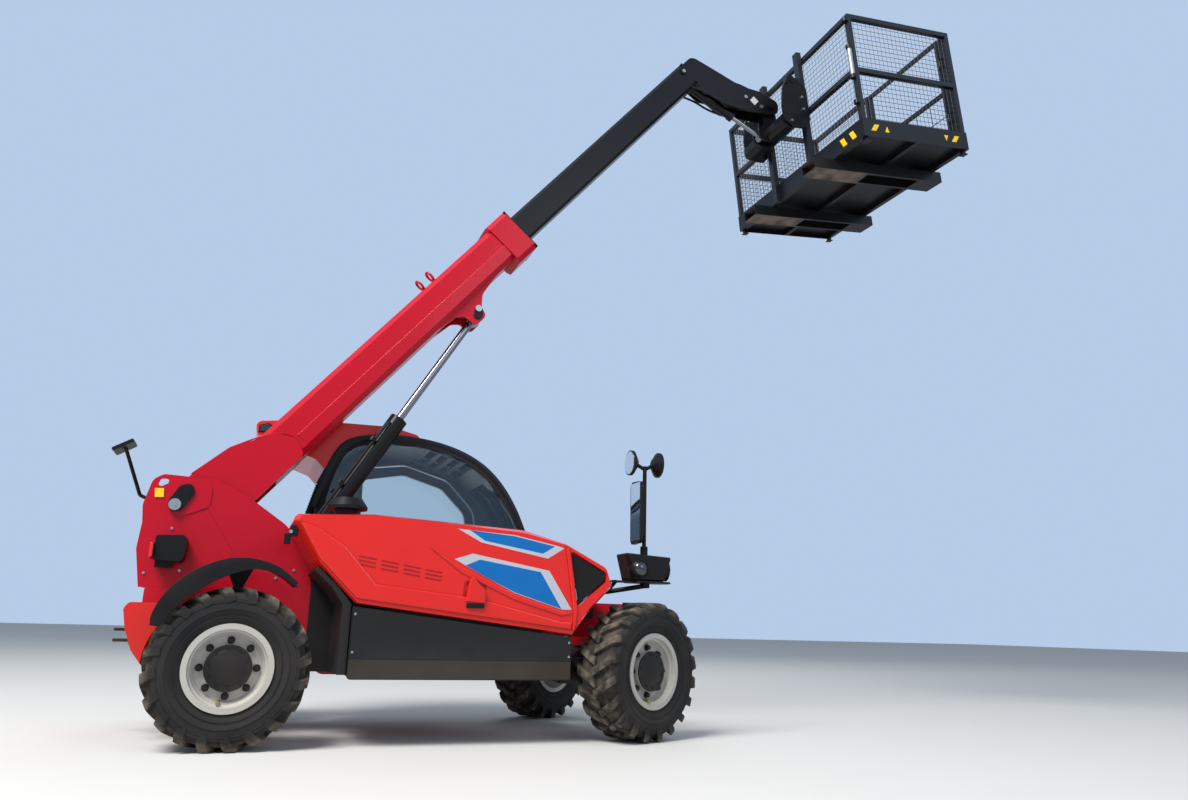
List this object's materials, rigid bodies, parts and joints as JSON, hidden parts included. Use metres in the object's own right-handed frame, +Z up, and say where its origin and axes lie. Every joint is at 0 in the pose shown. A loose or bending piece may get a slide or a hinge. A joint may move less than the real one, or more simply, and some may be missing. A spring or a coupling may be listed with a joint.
{
  "type": "telehandler",
  "caption": "Compact telehandler with a raised telescopic boom and a mesh man basket on its tilting carriage, with a side cab and steered wheels.",
  "frame": {"origin": "middle of the bottom of the whole machine's box, on the ground, as it stands with its boom raised", "axes": "+X forward along the machine, +Y to the cab side (left), +Z up"},
  "size_m": [6.0286, 2.1022, 5.5775],
  "materials": {
    "red_paint": "gloss",
    "black_paint": "satin",
    "grey_paint": "satin",
    "dark_frame": "satin",
    "tyre": "matte",
    "rim_grey": "satin",
    "bright_steel": "polished",
    "pin_steel": "satin",
    "iron": "matte",
    "black_plastic": "matte",
    "clear_glass": "gloss",
    "chair": "matte",
    "lamp_lens": "gloss",
    "battery_case": "matte"
  },
  "bodies": {
    "chassis": {"chassis_frame": "red_paint", "boom_tower": "red_paint", "boom_pivot_pin": "pin_steel", "counterweight": "red_paint", "tow_jaw": "black_paint", "rear_axle": "dark_frame", "front_axle": "dark_frame", "side_panel": "black_paint", "battery_pack": "battery_case", "hood_frame": "black_paint", "cab_frame": "black_paint", "cab_roof": "red_paint", "cab_glass": "clear_glass", "seat": "chair", "steering_column": "black_plastic", "rear_lamps": "black_plastic", "front_lamp_arm": "black_paint", "headlamps": "black_plastic", "mirrors": "black_plastic"},
    "boom": {"outer_boom": "red_paint"},
    "boom_extension": {"inner_boom": "black_paint", "boom_head": "black_paint"},
    "tool_carriage": {"carriage": "black_paint", "basket_floor": "dark_frame", "fork_pockets": "dark_frame", "basket_rails": "grey_paint", "basket_mesh": "grey_paint"},
    "gate": {"basket_gate": "grey_paint"},
    "lift_barrel": {"lift_cylinder_barrel": "black_paint"},
    "lift_rod": {"lift_cylinder_rod": "bright_steel"},
    "tilt_barrel": {"tilt_cylinder_barrel": "black_paint"},
    "tilt_rod": {"tilt_cylinder_rod": "bright_steel"},
    "cab_door_leaf": {"cab_door": "black_paint", "door_glass": "clear_glass"},
    "hood_lid": {"hood": "red_paint", "hood_grille": "black_plastic", "breather_cap": "black_plastic"},
    "knuckle_front_right_body": {"knuckle_front_right": "dark_frame"},
    "wheel_front_right": {"tyre_front_right": "tyre", "rim_front_right": "rim_grey"},
    "knuckle_front_left_body": {"knuckle_front_left": "dark_frame"},
    "wheel_front_left": {"tyre_front_left": "tyre", "rim_front_left": "rim_grey"},
    "knuckle_rear_right_body": {"knuckle_rear_right": "dark_frame", "mudguard_rear_right": "black_plastic"},
    "wheel_rear_right": {"tyre_rear_right": "tyre", "rim_rear_right": "rim_grey"},
    "knuckle_rear_left_body": {"knuckle_rear_left": "dark_frame", "mudguard_rear_left": "black_plastic"},
    "wheel_rear_left": {"tyre_rear_left": "tyre", "rim_rear_left": "rim_grey"}
  },
  "joints": [
    {"name": "boom_lift", "type": "hinge", "parent": "chassis", "child": "boom", "pos_m": [-2.54933, -0.05, 1.38899], "axis": [0, -1, 0], "range_deg": [-46.4, 10]},
    {"name": "boom_extend", "type": "slide", "parent": "boom", "child": "boom_extension", "axis": [0.6388, 0, 0.7694], "range_m": [-1.85, 0.3]},
    {"name": "carriage_tilt", "type": "hinge", "parent": "boom_extension", "child": "tool_carriage", "pos_m": [1.6153, -0.05, 5.09028], "axis": [0, 1, 0], "range_deg": [-54, 50]},
    {"name": "gate_swing", "type": "hinge", "parent": "tool_carriage", "child": "gate", "pos_m": [2.83993, -0.88, 5.00616], "axis": [-0.1097, 0, 0.994], "range_deg": [0, 90]},
    {"name": "lift_barrel_swing", "type": "hinge", "parent": "chassis", "child": "lift_barrel", "pos_m": [-2.059, -0.05, 0.751], "axis": [0, -1, 0], "range_deg": [-47, 11]},
    {"name": "lift_rod_slide", "type": "slide", "parent": "lift_barrel", "child": "lift_rod", "axis": [0.5088, 0, 0.8609], "range_m": [-0.66, 0.16]},
    {"name": "tilt_barrel_swing", "type": "hinge", "parent": "boom_extension", "child": "tilt_barrel", "pos_m": [0.75834, -0.05, 5.16489], "axis": [0, 1, 0], "range_deg": [-8, 8]},
    {"name": "tilt_rod_slide", "type": "slide", "parent": "tilt_barrel", "child": "tilt_rod", "axis": [0.9105, 0, -0.4135], "range_m": [-0.25, 0.27]},
    {"name": "steer_front_right", "type": "hinge", "parent": "chassis", "child": "knuckle_front_right_body", "pos_m": [0.094, -0.592, 0.41], "axis": [0, 0, 1], "range_deg": [-59, 3]},
    {"name": "spin_front_right", "type": "hinge", "parent": "knuckle_front_right_body", "child": "wheel_front_right", "pos_m": [0.16183, -0.73746, 0.41], "axis": [-0.4226, 0.9063, 0], "continuous": true},
    {"name": "steer_front_left", "type": "hinge", "parent": "chassis", "child": "knuckle_front_left_body", "pos_m": [0.094, 0.592, 0.41], "axis": [0, 0, 1], "range_deg": [-59.5, 3.5]},
    {"name": "spin_front_left", "type": "hinge", "parent": "knuckle_front_left_body", "child": "wheel_front_left", "pos_m": [0.00425, 0.72506, 0.41], "axis": [-0.5592, 0.829, 0], "continuous": true},
    {"name": "steer_rear_right", "type": "hinge", "parent": "chassis", "child": "knuckle_rear_right_body", "pos_m": [-2.206, -0.592, 0.41], "axis": [0, 0, 1], "range_deg": [-34, 34]},
    {"name": "spin_rear_right", "type": "hinge", "parent": "knuckle_rear_right_body", "child": "wheel_rear_right", "pos_m": [-2.206, -0.7525, 0.41], "axis": [0, 1, 0], "continuous": true},
    {"name": "steer_rear_left", "type": "hinge", "parent": "chassis", "child": "knuckle_rear_left_body", "pos_m": [-2.206, 0.592, 0.41], "axis": [0, 0, 1], "range_deg": [-34.5, 34.5]},
    {"name": "spin_rear_left", "type": "hinge", "parent": "knuckle_rear_left_body", "child": "wheel_rear_left", "pos_m": [-2.206, 0.7525, 0.41], "axis": [0, 1, 0], "continuous": true},
    {"name": "cab_door_swing", "type": "hinge", "parent": "chassis", "child": "cab_door_leaf", "pos_m": [-1.516, 0.915, 1.2], "axis": [0, 0, 1], "range_deg": [0, 80]},
    {"name": "hood_swing", "type": "hinge", "parent": "chassis", "child": "hood_lid", "pos_m": [-1.006, -0.263, 1.262], "axis": [-1, 0, 0], "range_deg": [0, 55]}
  ],
  "couplings": [
    {"joint": "lift_barrel_swing", "follows": "boom_lift", "ratio": 0.9737},
    {"joint": "lift_rod_slide", "follows": "boom_lift", "m_per_rad": 0.7813},
    {"joint": "tilt_barrel_swing", "follows": "carriage_tilt", "ratio": 0.0833},
    {"joint": "tilt_rod_slide", "follows": "carriage_tilt", "m_per_rad": -0.2634},
    {"joint": "steer_front_left", "follows": "steer_front_right", "ratio": 1},
    {"joint": "steer_rear_left", "follows": "steer_rear_right", "ratio": 1}
  ]
}
